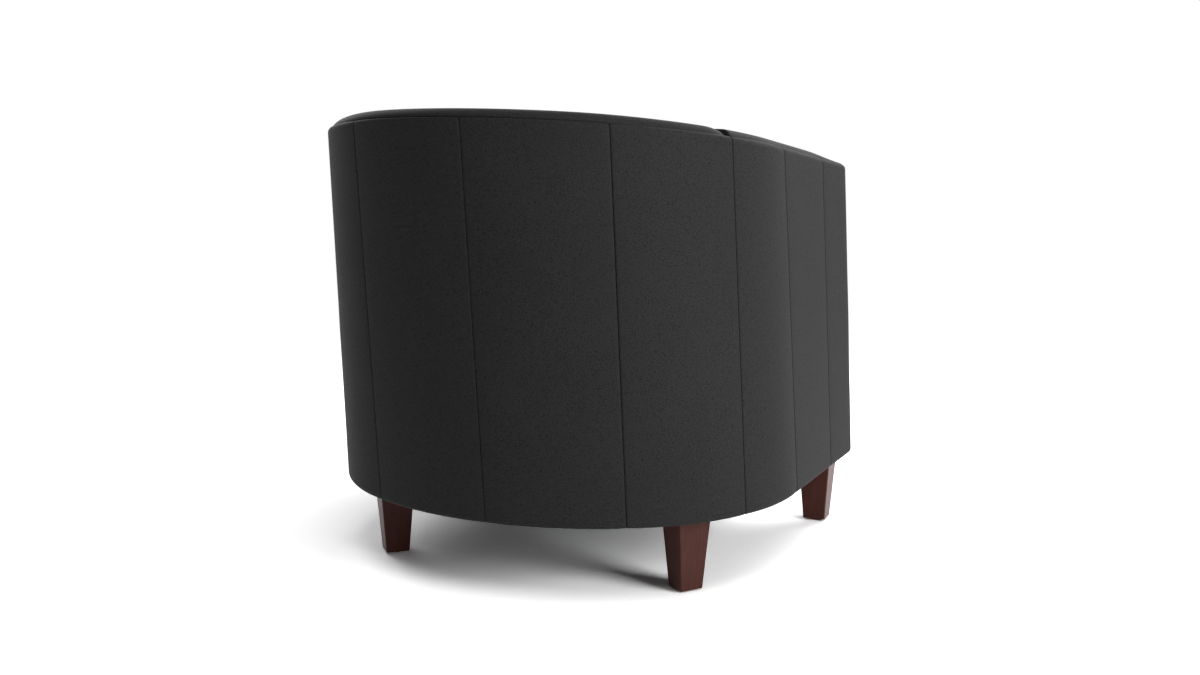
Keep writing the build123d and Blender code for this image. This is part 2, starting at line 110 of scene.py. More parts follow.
# Inside pads: crown and the highest value of its curve, crease at each arm, front end, hidden underside
INSIDE_CROWN = 6 * MM
INSIDE_CROWN_POWER = 0.7
INSIDE_CROWN_PEAK = 0.213
INSIDE_UNEVEN = 0.56 * MM
INSIDE_UNEVEN_SIZE = 70 * MM
CREASE_GAP = 1.2 * MM
CREASE_BACK_REACH = 38 * MM
CREASE_BACK_FALL = 6 * MM
CREASE_ARM_ROUND = 2 * MM
CREASE_DEPTH = 20 * MM
CREASE_UNDERCUT = 8 * MM
FRONT_ROUND = 1.5 * MM
FRONT_SWELL = 3.5 * MM
FRONT_SWELL_REACH = 30 * MM
FRONT_SWELL_FOOT = 0.25
PAD_FRONT_GAP = -0.6 * MM
UNDER_MIDDLE = 0.4
UNDER_SEAM = (6 * MM, 3 * MM)
UNDER_SEAM_RISE = 0.45

# Arm fronts and front border
FACING_INSET = -1.5 * MM
FACING_WIDENING = 20 * MM
FACING_CROWN = 2.5 * MM
BORDER_LIFT = 2.5 * MM
BORDER_ROUND = 9 * MM
BORDER_LAP = 30 * MM
BORDER_LAP_SHARES = (0.3, 0.65, 1)
BORDER_COVER = COVER / 2
BORDER_CROWN = 2 * MM

# Seat cushion
CUSHION_TOP = 441 * MM
CUSHION_FRONT = -346 * MM
CUSHION_BOW = 8 * MM
BOW_CORNER_RADII = 1.2
CUSHION_CORNER = 60 * MM
CUSHION_GAP = 2 * MM
CUSHION_CROWN = 15 * MM
CUSHION_CROWN_REACH = 55 * MM
CUSHION_CROWN_POWER = 1.3
CUSHION_PUFF = 10 * MM
CUSHION_PUFF_REACH = 9 * MM
CUSHION_DRAW_IN = 9 * MM
CUSHION_FOOT = 8 * MM
CUSHION_REST = 0.5 * MM
CUSHION_SIDE_POWER = 0.45
CUSHION_SEAM_TOP = CUSHION_TOP - CUSHION_CROWN - CUSHION_PUFF
CUSHION_SEAM_LOW = DECK_HEIGHT + BORDER_LIFT + CUSHION_FOOT
WELT = 3 * MM
WELT_SINK = 0.4
WELT_TURN = 125
WELT_STEP = 25

# Cloth simulation of the cushion, whose border is free where its normal's Y lies below the limit
CLOTH_FREE_LIMIT = -0.7
CLOTH_PRESSURE = 4.0
CLOTH_SLACK = 0.012
CLOTH_FRAMES = 20
CLOTH_CAP = 8 * MM

# Deck and dust cover
DECK_PAD = 11 * MM
DUST_INSET = 13 * MM
DUST_DROP = 1.2 * MM
DUST_THICKNESS = 0.8 * MM
DUST_SAG = 4 * MM
DUST_SAG_REACH = 70 * MM

# Steps of the meshes: largest and smallest spacing, degrees between rows, and numbers of rows and cells
PANEL_STEP = 11 * MM
FACING_STEP = 10 * MM
PANEL_FINE = 0.35 * MM
PAD_STEP = 9 * MM
PAD_FINE = 0.8 * MM
WALL_STEP = 0.026
WALL_FINE = 0.004
SPREAD_GROWTH = 1.45
HEM_ANGLE = 18
EDGE_ANGLE = 15
ROLL_INNER_ANGLE = 10
ROLL_TURNS = 14
ROLL_FLATS = 12
INSIDE_ROWS = 26
CUSHION_SIDE_ROWS = 14
CUSHION_CELLS = 64
SHEET_CELLS = 40
TINY = 1e-9
WELD = 1e-6

# Leather and stained wood: tones, sizes of their textures per metre and depths of their grain
LEATHER_TONES = ((0.0157,) * 3, (0.0220,) * 3)
LEATHER_ROUGHNESS = (0.66, 0.78)
CLOUD_SCALE = 9.0
PEBBLE_SCALE = 540.0
# Painted light and shade of the pebble grain: the leather's tone multiplied from a pebble's middle to its
# edge, lighter on the tops and darker in the hollows
PEBBLE_PAINTED_SHADE = (1.30, 0.40)
PEBBLE_DEPTH = 0.30 * MM
PORE_SCALE = 2600.0
PORE_DEPTH = 0.08 * MM
WOOD_TONES = ((0.026, 0.0080, 0.0058), (0.074, 0.0225, 0.0165))
WOOD_GRAIN_SCALE = 260.0
WOOD_GRAIN_STRETCH = (1.0, 1.0, 0.06)
WOOD_GRAIN_DEPTH = 0.15 * MM

# Camera fitted to the photograph
CAMERA_PLACE = Vector((-0.9509, 2.1964, 0.7575))
CAMERA_AIM = Vector((0.3709, -0.9133, -0.1683))
CAMERA_LENS = 45.14
CAMERA_SENSOR = 36

# Soft boxes: azimuth in degrees from the rear towards the sitter's right, elevation, size and power
SOFT_BOXES = (("right_box", 75, 15, 1.4, 104), ("front_box", 150, 30, 1.4, 50),
              ("left_box", -120, 30, 1.6, 52), ("top_box", 20, 60, 1.8, 47),
              ("face_box", 180, 35, 1.6, 30))
BOX_DISTANCE = 3.2
BOX_AIM = Vector((0, 0, 0.4))
FILL_LIGHT = 0.05
FLOOR_REACH = 12
FLOOR_TONE = 0.92
FLOOR_LIFT = 0.55
FLOOR_FADE = (1.3, 2.4)

# Sides of the chair as the sitter has them
SIDES = ((1, "left"), (-1, "right"))
UP = Vector((0, 0, 1))
SLOPE_COS = math.cos(math.radians(RIM_SLOPE))
SLOPE_SIN = math.sin(math.radians(RIM_SLOPE))


class Outline:
    """Half of a D outline in plan from the rear centre: rear arc, side arc, straight side, front corner."""

    def __init__(self, rear, rear_radius, side_radius, flare, front, corner=0.0):
        self.rear = rear
        self.rear_radius = rear_radius
        self.side_radius = side_radius
        self.flare = flare
        self.front = front
        self.corner = corner

    def inset(self, distance, front=0.0):
        """The outline moved inward, and its front line by a distance of its own."""
        return Outline(self.rear - distance, self.rear_radius - distance, self.side_radius - distance,
                       self.flare, self.front + front, max(self.corner - distance, 0.0))

    def normal(self, degrees):
        """Outward direction at an angle from the rear."""
        angle = math.radians(degrees)
        return Vector((math.sin(angle), math.cos(angle)))

    def centres(self):
        """Centres of the rear arc and the side arc."""
        rear = Vector((0, self.rear - self.rear_radius))
        return rear, rear + self.normal(REAR_ARC_ANGLE) * (self.rear_radius - self.side_radius)

    def straight(self):
        """Start, heading and length of the straight side, up to the front corner."""
        flare = math.radians(self.flare)
        out = self.normal(90 - self.flare)
        start = self.centres()[1] + out * self.side_radius
        heading = Vector((math.sin(flare), -math.cos(flare)))
        inner = start - out * self.corner
        return start, heading, (inner.y - self.front - self.corner) / math.cos(flare)

    def lengths(self):
        """Lengths of the rear arc, side arc, straight side and front corner."""
        return (self.rear_radius * math.radians(REAR_ARC_ANGLE),
                self.side_radius * math.radians(90 - self.flare - REAR_ARC_ANGLE),
                self.straight()[2],
                self.corner * math.radians(90 + self.flare))

    def station(self, stretch, share):
        """Point and outward normal at a share of one stretch of the outline."""
        rear_centre, side_centre = self.centres()
        if stretch == 0:
            out = self.normal(REAR_ARC_ANGLE * share)
            return rear_centre + out * self.rear_radius, out
        if stretch == 1:
            out = self.normal(REAR_ARC_ANGLE + (90 - self.flare - REAR_ARC_ANGLE) * share)
            return side_centre + out * self.side_radius, out
        start, heading, length = self.straight()
        side_out = self.normal(90 - self.flare)
        if stretch == 2:
            return start + heading * (length * share), side_out
        out = self.normal(90 - self.flare + (90 + self.flare) * share)
        return start + heading * length - side_out * self.corner + out * self.corner, out

    def locate(self, distance):
        """Stretch and share at a distance along the outline."""
        lengths = self.lengths()
        for stretch, length in enumerate(lengths):
            if distance <= length + TINY or stretch == len(lengths) - 1:
                return stretch, min(distance / max(length, TINY), 1.0)
            distance -= length

    def side_length(self):
        """Length from the rear centre to the front corner."""
        return sum(self.lengths()[:3])


BASE = Outline(BASE_REAR, BASE_REAR_RADIUS, BASE_SIDE_RADIUS, BASE_FLARE, BASE_FRONT, CORNER)
BASE_END = sum(BASE.lengths())
RIM = Outline(0, RIM_REAR_RADIUS, RIM_SIDE_RADIUS, RIM_FLARE, -RIM_DEPTH, CORNER)
RIM_SHARP = Outline(0, RIM_REAR_RADIUS, RIM_SIDE_RADIUS, RIM_FLARE, -RIM_DEPTH)


def on_rim(point, lift):
    """A point of the sloping rim plane, lifted off it."""
    return Vector((point.x, RIM_REAR + point.y * SLOPE_COS - lift * SLOPE_SIN,
                   SEAM_HEIGHT + point.y * SLOPE_SIN + lift * SLOPE_COS))


RIM_FRONT = on_rim(Vector((0, -RIM_DEPTH)), 0)
PAD_SEAM_ON_RIM = SEAMS[PAD_SEAM] * RIM.side_length() / BASE.side_length()


def front_y(height):
    """Y of the leaning front wall at a height."""
    share = (height - BODY_BOTTOM) / (RIM_FRONT.z - BODY_BOTTOM)
    return BASE_FRONT + (RIM_FRONT.y - BASE_FRONT) * share


SEAT = Outline(SEAT_REAR, SEAT_REAR_RADIUS, SEAT_SIDE_RADIUS, SEAT_FLARE, front_y(DECK_HEIGHT))


def quarter_round(distance, radius):
    """How far a rounded edge falls away at a distance from its end."""
    if distance >= radius:
        return 0.0
    return radius - math.sqrt(max(radius**2 - (radius - distance)**2, 0.0))


def smooth_step(value, low, high):
    """0 below a range, 1 above it and smooth between."""
    share = min(max((value - low) / (high - low), 0), 1)
    return share * share * (3 - 2 * share)


def top_round(distance):
    """Rounding of the panels' top edge at a distance along the rim, softer on the arms than at the rear."""
    return TOP_ROUND_REAR + (TOP_ROUND - TOP_ROUND_REAR) * smooth_step(distance, *ROUND_WIDENING)


def unevenness(point, size=UNEVEN_SIZE):
    """Slow unevenness of hand-pulled leather, from -1 to 1."""
    return noise.noise(point / size)


def spread(length, step, fine):
    """Places from 0 to a length, close together at both ends."""
    ends = []
    place = 0.0
    gap = fine
    while place < length / 2 and gap < step:
        ends.append(place)
        place += gap
        gap *= SPREAD_GROWTH
    count = max(round((length - 2 * place) / step), 1)
    middle = [place + (length - 2 * place) * k / count for k in range(count + 1)]
    return ends + middle + [length - end for end in reversed(ends)]


def add_mesh(name, points, faces):
    """A smooth mesh object with outward normals."""
    mesh = bpy.data.meshes.new(name)
    mesh.from_pydata([tuple(point) for point in points], [], faces)
    work = bmesh.new()
    work.from_mesh(mesh)
    bmesh.ops.remove_doubles(work, verts=work.verts, dist=WELD)
    bmesh.ops.recalc_face_normals(work, faces=work.faces)
    if work.calc_volume(signed=True) < 0:
        bmesh.ops.reverse_faces(work, faces=work.faces)
    work.to_mesh(mesh)
    work.free()
    mesh.polygons.foreach_set("use_smooth", [True] * len(mesh.polygons))
    piece = bpy.data.objects.new(name, mesh)
    bpy.context.scene.collection.objects.link(piece)
    return piece


def grid_faces(rows, columns, first=0, flip=False):
    """Quads of a grid of points stored row by row."""
    faces = []
    for row in range(rows - 1):
        for column in range(columns - 1):
            corner = first + row * columns + column
            quad = [corner, corner + 1, corner + columns + 1, corner + columns]
            faces.append(quad[::-1] if flip else quad)
    return faces


def rim_loop(rows, columns):
    """Numbers of a grid's edge points, in order round it."""
    loop = list(range(columns))
    loop += [row * columns + columns - 1 for row in range(1, rows)]
    loop += [(rows - 1) * columns + column for column in range(columns - 2, -1, -1)]
    loop += [row * columns for row in range(rows - 2, 0, -1)]
    return loop


def band(lower, upper):
    """Quads between two closed loops of points."""
    count = len(lower)
    return [[lower[k], lower[(k + 1) % count], upper[(k + 1) % count], upper[k]] for k in range(count)]


def closed_sheet(name, outer, inner):
    """A closed thin piece from two grids of the same shape."""
    rows, columns = len(outer), len(outer[0])
    size = rows * columns
    points = [point for row in outer for point in row] + [point for row in inner for point in row]
    faces = grid_faces(rows, columns) + grid_faces(rows, columns, size, flip=True)
    loop = rim_loop(rows, columns)[::-1]
    faces += band(loop, [place + size for place in loop])
    return add_mesh(name, points, faces)


def closed_tube(name, rings):
    """A closed piece swept through rings of the same number of points."""
    count = len(rings[0])
    points = [point for ring in rings for point in ring]
    loops = [list(range(first, first + count)) for first in range(0, len(points), count)]
    faces = []
    for here, there in zip(loops, loops[1:]):
        faces += band(here, there)
    faces += [loops[0][::-1], loops[-1]]
    return add_mesh(name, points, faces)


def mirrored(grid):
    """A grid of points on the other side of the chair."""
    return [[Vector((-point.x, point.y, point.z)) for point in row] for row in grid]


# Rows up a wall between its hem and its rounded top, closer together at both ends
WALL_SHARES = spread(1, WALL_STEP, WALL_FINE)[1:]


def rim_station(distance):
    """Stretch and share of the rim outline that stand over a distance along the base outline."""
    side = BASE.side_length()
    if distance <= side:
        return RIM.locate(distance * RIM.side_length() / side)
    return RIM.locate(RIM.side_length() + (distance - side) * RIM.lengths()[3] / BASE.lengths()[3])


def wall_profile(distance):
    """Points up the shell wall: the hem under the body, its rounded edge, the wall and the rounded top.

    Each row is (outer point, outward normal, inner point, share of the wall's height)."""
    low, low_out = BASE.station(*BASE.locate(distance))
    stretch, share = rim_station(distance)
    edge = top_round(distance * RIM.side_length() / BASE.side_length())
    bottom = Vector((low.x, low.y, BODY_BOTTOM))
    top = on_rim(RIM.station(stretch, share)[0], 0)
    over = on_rim(RIM.inset(edge, edge).station(stretch, share)[0], 0)
    height = (top - bottom).length
    rise = (top - bottom) / height
    flat_out = Vector((low_out.x, low_out.y, 0))
    out = rise.cross(Vector((low_out.y, -low_out.x, 0))).normalized()
    inward = (over - top).normalized()
    down = Vector((0, SLOPE_SIN, -SLOPE_COS))
    rows = []
    for wrap in (HEM_WRAP, HEM_WRAP * HEM_MIDDLE):
        under = bottom - flat_out * wrap
        rows.append((under - UP * HEM_DROP, -UP, under + UP * HEM_RISE, 0.0))
    for degrees in range(0, 91, HEM_ANGLE):
        angle = math.radians(degrees)
        depth = HEM_ROUND * (1 - math.sin(angle))
        lift = HEM_ROUND * (1 - math.cos(angle)) - HEM_DROP
        outer = bottom - flat_out * depth + rise * lift
        inner = bottom - flat_out * max(depth, COVER) + rise * max(lift, HEM_RISE)
        rows.append((outer, flat_out * math.sin(angle) - UP * math.cos(angle), inner, 0.0))
    foot = HEM_ROUND - HEM_DROP
    for share in WALL_SHARES:
        lift = foot + (height - edge - foot) * share
        point = bottom + rise * lift
        rows.append((point, out, point - out * COVER, lift / height))
    start = bottom + rise * (height - edge)
    for degrees in range(EDGE_ANGLE, 91, EDGE_ANGLE):
        angle = math.radians(degrees)
        lift, turn = math.sin(angle), 1 - math.cos(angle)
        outer = start + (top - start) * lift + (over - top) * turn
        inside_lift = (top - start).length - COVER
        inner = start - out * COVER + rise * inside_lift * lift + inward * (edge - COVER) * turn
        rows.append((outer, (out * (1 - turn) - down * lift).normalized(), inner, 1.0))
    for depth, fall in TUCK_SHARES:
        shift = inward * TUCK * depth
        rows.append((over + shift + down * TUCK * fall, inward, inner + shift, 1.0))
    return rows


def panel_swell(edge, across, level, point, crown):
    """How far a panel stands off its wall: crowned a little, drawn in at the seams, uneven between them."""
    rise = math.sin(math.pi * min(max(level, 0), 1))**CROWN_UP_POWER
    swell = crown * max(math.sin(math.pi * across), 0)**CROWN_ACROSS_POWER * rise
    swell -= SEAM_DIP * math.exp(-edge / SEAM_DIP_REACH) + quarter_round(edge, SEAM_ROUND)
    return swell + UNEVEN * unevenness(point) * min(edge / SEAM_DIP_REACH, 1) * rise


def panel_from_columns(name, columns, side):
    """A closed panel from its columns of (outer, inner) points."""
    outer = [[column[row][0] for column in columns] for row in range(len(columns[0]))]
    inner = [[column[row][1] for column in columns] for row in range(len(columns[0]))]
    if side < 0:
        outer = mirrored(outer)
        inner = mirrored(inner)
    return closed_sheet(name, outer, inner)


def outer_panel(name, start, end, side):
    """One upright leather panel between two seams, rolled into both, with its hem and top edge."""
    columns = []
    width = end - start
    for place in spread(width, PANEL_STEP, PANEL_FINE):
        edge = min(place, width - place)
        column = []
        for outer, out, inner, level in wall_profile(start + place):
            swell = panel_swell(edge, place / width, level, outer, PANEL_CROWN)
            column.append((outer + out * swell, inner))
        columns.append(column)
    return panel_from_columns(name, columns, side)


def roll_lip(distance):
    """Height of the roll's rounded lip over the rim seam at a distance along the rim."""
    rear = (ROLL_ARM - ROLL_REAR) * smooth_step(distance, *REAR_THINNING)
    return ROLL_REAR + rear + (ROLL_FRONT - ROLL_ARM) * smooth_step(distance, *ARM_THINNING)


def roll_section(distance, trim):
    """Section over the rim from the outside seam to the inside wall.

    Each point is (distance in, lift, distance in of its core, lift of its core), and a rounded end falls
    towards the core. The trim is how far the front corner has cut into the section."""
    section = []
    lip = roll_lip(distance)
    rise = lip + ROLL_DOME
    tightening = (ROLL_START_ARM - ROLL_START_ANGLE) * smooth_step(distance, *ROLL_TIGHTENING)
    first = math.radians(ROLL_START_ANGLE + tightening)
    half = (lip + ROLL_SINK) / (1 - math.sin(first))
    middle = trim + top_round(distance) + ROLL_GAP + ROLL_EDGE - ROLL_OVERHANG
    centre = middle + ROLL_LEAN * lip
    for turn in range(ROLL_TURNS):
        angle = first + (math.pi / 2 - first) * turn / ROLL_TURNS
        lift = lip - half + half * math.sin(angle)
        section.append((middle + ROLL_EDGE * math.cos(angle) + ROLL_LEAN * lift, lift,
                        centre + ROLL_INNER, rise - 2 * ROLL_INNER))
    inner_top = RIM_WIDTH - ROLL_INNER
    for step in range(ROLL_FLATS):
        share = step / ROLL_FLATS
        inward = centre + (inner_top - centre) * share
        dome = math.sin(math.pi / 2 * share)**ROLL_DOME_POWER
        core = centre + ROLL_INNER * (1 - share) + (inner_top - centre) * share
        section.append((inward, lip + ROLL_DOME * dome, core, rise - 2 * ROLL_INNER))
    for degrees in range(0, 91, ROLL_INNER_ANGLE):
        angle = math.radians(degrees)
        section.append((inner_top + ROLL_INNER * math.sin(angle), rise - ROLL_INNER * (1 - math.cos(angle)),
                        inner_top, rise - ROLL_INNER))
    return section


def pad_ring(distance, fall, trim):
    """One closed ring of the inside padding: roll, inside wall, underside and hidden back."""
    stretch, share = RIM_SHARP.locate(distance)
    foot_flat, foot_out = SEAT.inset(0, PAD_FRONT_GAP).station(stretch, share)
    out = Vector((foot_out.x, foot_out.y, 0))

    def rim_point(inward, lift):
        gap = PAD_FRONT_GAP + (TOP_ROUND - PAD_FRONT_GAP) * smooth_step(RIM_WIDTH - inward, 0, ROLL_INNER)
        return on_rim(RIM_SHARP.inset(inward, gap).station(stretch, share)[0], lift)

    end = RIM_SHARP.side_length()
    press = FRONT_SWELL * smooth_step(distance, end - FRONT_SWELL_REACH, end)
    points = []
    section = roll_section(distance, trim)
    for inward, lift, core_inward, core_lift in section:
        point = rim_point(inward, lift)
        turned = max((inward - RIM_WIDTH + ROLL_INNER) / ROLL_INNER, 0)
        sunk = (rim_point(core_inward, core_lift) - point).normalized() * fall
        points.append(point + sunk - out * press * turned)
    top = rim_point(*section[-1][:2])
    foot = Vector((foot_flat.x, foot_flat.y, DECK_HEIGHT))
    for row in range(1, INSIDE_ROWS + 1):
        down = row / INSIDE_ROWS
        point = top.lerp(foot, down)
        bulge = INSIDE_CROWN * (1 - down)**2 * down**INSIDE_CROWN_POWER / INSIDE_CROWN_PEAK
        bulge += INSIDE_UNEVEN * unevenness(point, INSIDE_UNEVEN_SIZE) * math.sin(math.pi * down)
        bulge += press * min((1 - down) / FRONT_SWELL_FOOT, 1)
        points.append(point - out * (bulge - fall))
    back = out * PAD
    under = rim_point(RIM_WIDTH - PAD, -RAIL_DROP)
    seam = trim + top_round(distance) + ROLL_GAP
    hidden = [foot + back / 2, foot + back, (foot + back).lerp(under, 0.5), under,
              rim_point((trim + RIM_WIDTH) * UNDER_MIDDLE, -RAIL_DROP),
              rim_point(seam + UNDER_SEAM[0], -RAIL_DROP),
              rim_point(seam + UNDER_SEAM[1], -RAIL_DROP * UNDER_SEAM_RISE)]
    return points + hidden


def pad_places(first, last):
    """Distances along the rim between two ends, close together at both."""
    return [first + place for place in spread(last - first, PAD_STEP, PAD_FINE)]


def inside_back_pad():
    """Padding of the inside back, over the rim, from crease to crease."""
    end = PAD_SEAM_ON_RIM - CREASE_GAP
    half = []
    for distance in pad_places(0, end):
        share = max(1 - (end - distance) / CREASE_BACK_REACH, 0)
        half.append(pad_ring(distance, CREASE_BACK_FALL * share**2, 0))
    half.append(pad_ring(PAD_SEAM_ON_RIM + CREASE_GAP + CREASE_UNDERCUT, CREASE_DEPTH, 0))
    return closed_tube("inside_back_pad_cover", mirrored(half[:0:-1]) + half)


def inside_arm_pad(name, side):
    """Padding of one arm, over the rim, from the crease to the arm front."""
    start = PAD_SEAM_ON_RIM + CREASE_GAP
    end = RIM_SHARP.side_length()
    corner = CORNER - TOP_ROUND - ROLL_GAP
    rings = [pad_ring(start + CREASE_UNDERCUT, CREASE_DEPTH, 0)]
    for distance in pad_places(start, end):
        rest = end - distance
        fall = max(quarter_round(distance - start, CREASE_ARM_ROUND), quarter_round(rest, FRONT_ROUND))
        rings.append(pad_ring(distance, fall, quarter_round(rest, corner)))
    if side < 0:
        rings = mirrored(rings)
    return closed_tube(name, rings)


def arm_inside(height):
    """X of the inside edge of an arm front at a height."""
    low = SEAT.station(2, 1)[0].x
    high = on_rim(RIM_SHARP.inset(RIM_WIDTH).station(2, 1)[0], ROLL_FRONT + ROLL_DOME - ROLL_INNER)
    share = min(max((height - DECK_HEIGHT) / (high.z - DECK_HEIGHT), 0), 1)
    return low + (high.x - low) * share


def facing_inside(point):
    """X of the inside edge of an arm's facing, which turns over the top with the roll."""
    inset = FACING_INSET * smooth_step(point.z, DECK_HEIGHT, DECK_HEIGHT + FACING_WIDENING)
    edge = arm_inside(point.z) + inset
    radius = ROLL_INNER - FACING_INSET
    sunk = (RIM_FRONT.z + ROLL_FRONT + ROLL_DOME - point.z) / radius
    if sunk < 1:
        edge += radius * (1 - math.sqrt(max(1 - (1 - max(sunk, 0))**2, 0)))
    return edge


def arm_front_panel(name, side):
    """Facing of one arm front, from the corner seam to the inside pad, with its hem and top edge."""
    profile = wall_profile(BASE_END)
    width = profile[0][0].x - facing_inside(profile[0][0])
    columns = []
    for place in spread(width, FACING_STEP, PANEL_FINE):
        share = place / width
        column = []
        for outer, out, inner, level in profile:
            span = facing_inside(outer) - outer.x
            shift = Vector((span * share, 0, 0))
            edge = min(share, 1 - share) * abs(span)
            swell = panel_swell(edge, share, level, outer + shift, FACING_CROWN)
            column.append((outer + shift + Vector((0, out.y, out.z)) * swell, inner + shift))
        columns.append(column)
    return panel_from_columns(name, columns, side)


def front_border():
    """Border under the cushion, from its hem up the front and over onto the deck."""
    top = Vector((0, front_y(DECK_HEIGHT), DECK_HEIGHT + BORDER_LIFT))
    rows = []
    for outer, out, inner, level in wall_profile(BASE_END):
        if outer.z < top.z - BORDER_ROUND and level < 1:
            rows.append((outer, out, inner, (outer.z - BODY_BOTTOM) / (top.z - BODY_BOTTOM)))
    start = Vector((0, front_y(top.z - BORDER_ROUND), top.z - BORDER_ROUND))
    ahead = Vector((0, -1, 0))
    for degrees in range(0, 91, EDGE_ANGLE):
        angle = math.radians(degrees)
        lift, turn = math.sin(angle), 1 - math.cos(angle)
        outer = start + UP * BORDER_ROUND * lift - ahead * BORDER_ROUND * turn
        reach = BORDER_ROUND - BORDER_COVER
        inner = start - ahead * BORDER_COVER + UP * reach * lift - ahead * reach * turn
        rows.append((outer, ahead * (1 - turn) + UP * lift, inner, 1.0))
    for lap in BORDER_LAP_SHARES:
        shift = -ahead * (BORDER_LAP - BORDER_ROUND) * lap
        rows.append((outer + shift, UP, inner + shift, 1.0))
    half = arm_inside(BODY_BOTTOM)
    columns = []
    for place in spread(2 * half, PANEL_STEP, PANEL_FINE):
        edge = min(place, 2 * half - place)
        column = []
        for outer, out, inner, level in rows:
            flat = Vector((place - half, outer.y, outer.z))
            swell = panel_swell(edge, place / (2 * half), level, flat, BORDER_CROWN)
            outside = flat + Vector((0, out.y, out.z)) * swell
            column.append((outside, Vector((place - half, inner.y, inner.z))))
        columns.append(column)
    return panel_from_columns("front_border_cover", columns, 1)


def four_sides(outline, bow, cells):
    """Front, rear, right and left side of an outline, all of as many cells, the front bowed."""
    lengths = outline.lengths()
    rear_corner = lengths[0] + lengths[1] / 2
    front_corner = sum(lengths[:3]) + lengths[3] / 2
    end = sum(lengths)
    front_half = outline.station(3, 1)[0].x

    def place(distance):
        if distance <= end:
            point = outline.station(*outline.locate(distance))[0].copy()
        else:
            point = Vector((front_half - (distance - end), outline.front))
        reach = min(abs(point.x) / outline.station(2, 1)[0].x, 1)
        fade = outline.corner * BOW_CORNER_RADII
        nearness = min(max((outline.front + fade - point.y) / fade, 0), 1)
        return point + Vector((0, -bow * (1 - reach**2) * nearness))

    half = cells // 2
    rear = [place(rear_corner * k / half) for k in range(half + 1)]
    left = [place(rear_corner + (front_corner - rear_corner) * k / cells) for k in range(cells + 1)]
    total = end + front_half
    front = [place(front_corner + (total - front_corner) * k / half) for k in range(half + 1)]

    def other(points):
        return [Vector((-point.x, point.y)) for point in points]

    rear_line = other(rear[:0:-1]) + rear
    front_line = other(front) + front[-2::-1]
    return front_line, rear_line, other(left)[::-1], left[::-1]


def patch(outline, bow, cells):
    """Points in plan of the patch that fills an outline, row by row from the front."""
    front, rear, right, left = four_sides(outline, bow, cells)
    grid = []
    for row in range(cells + 1):
        back = row / cells
        line = []
        for column in range(cells + 1):
            over = column / cells
            sides = right[row] * (1 - over) + left[row] * over
            ends = front[column] * (1 - back) + rear[column] * back
            front_line = front[0] * (1 - over) + front[-1] * over
            rear_line = rear[0] * (1 - over) + rear[-1] * over
            line.append(sides + ends - (front_line * (1 - back) + rear_line * back))
        grid.append(line)
    return grid


def edge_distance(row, column, cells, width, depth):
    """Distance of a patch's point from its edge, soft towards the corners."""
    across = min(column, cells - column) / cells * width
    along = min(row, cells - row) / cells * depth
    return across * along / (across + along) if across + along > 0 else 0.0


def inflate(piece, held):
    """Swells a closed piece by a short cloth simulation, with some points held and every move capped."""
    before = [vertex.co.copy() for vertex in piece.data.vertices]
    group = piece.vertex_groups.new(name="held")
    group.add(held, 1.0, "REPLACE")
    cloth = piece.modifiers.new("inflate", "CLOTH")
    cloth.settings.vertex_group_mass = group.name
    cloth.settings.use_pressure = True
    cloth.settings.uniform_pressure_force = CLOTH_PRESSURE
    cloth.settings.shrink_min = -CLOTH_SLACK
    cloth.settings.effector_weights.gravity = 0
    for number in range(1, CLOTH_FRAMES + 1):
        bpy.context.scene.frame_set(number)
    swollen = piece.evaluated_get(bpy.context.evaluated_depsgraph_get())
    after = [vertex.co.copy() for vertex in swollen.data.vertices]
    piece.modifiers.remove(cloth)
    piece.vertex_groups.remove(group)
    bpy.context.scene.frame_set(1)
    for vertex, old, new in zip(piece.data.vertices, before, after):
        move = new - old
        vertex.co = old + move * min(1, CLOTH_CAP / max(move.length, CLOTH_CAP))
    return piece


def welt_point(seam, out, height, side, turn):
    """A point of the round welt in a cushion seam, on the upper or the lower side, at an angle round it."""
    outward = Vector((out.x, out.y, side)) / math.sqrt(2)
    across = Vector((out.x, out.y, -side)) / math.sqrt(2)
    centre = Vector((seam.x, seam.y, height)) + outward * WELT * WELT_SINK
    return centre + (outward * math.cos(turn) + across * math.sin(turn)) * WELT


def cushion_panels(grid, width, depth):
    """Points of the crowned top panel and then of the bottom panel, over the same places in plan."""
    top = []
    low = []
    for row, line in enumerate(grid):
        for column, flat in enumerate(line):
            edge = edge_distance(row, column, CUSHION_CELLS, width, depth)
            puff = CUSHION_PUFF * (1 - math.exp(-edge / CUSHION_PUFF_REACH))
            crown = CUSHION_CROWN * (1 - math.exp(-(edge / CUSHION_CROWN_REACH)**CUSHION_CROWN_POWER))
            top.append(Vector((flat.x, flat.y, CUSHION_SEAM_TOP + puff + crown)))
            low.append(Vector((flat.x, flat.y, CUSHION_SEAM_LOW - min(puff, CUSHION_FOOT - CUSHION_REST))))
    return top + low


def cushion_rows(turns):
    """Rows of the cushion's border from the lower welt to the upper one.

    Each row is (height, side of its welt or 0, angle round the welt or share of the border's height)."""
    height = CUSHION_SEAM_TOP - CUSHION_SEAM_LOW
    rows = [(CUSHION_SEAM_LOW, -1, turn) for turn in turns]
    for step in range(1, CUSHION_SIDE_ROWS):
        rows.append((CUSHION_SEAM_LOW + height * step / CUSHION_SIDE_ROWS, 0, step / CUSHION_SIDE_ROWS))
    return rows + [(CUSHION_SEAM_TOP, 1, turn) for turn in reversed(turns)]


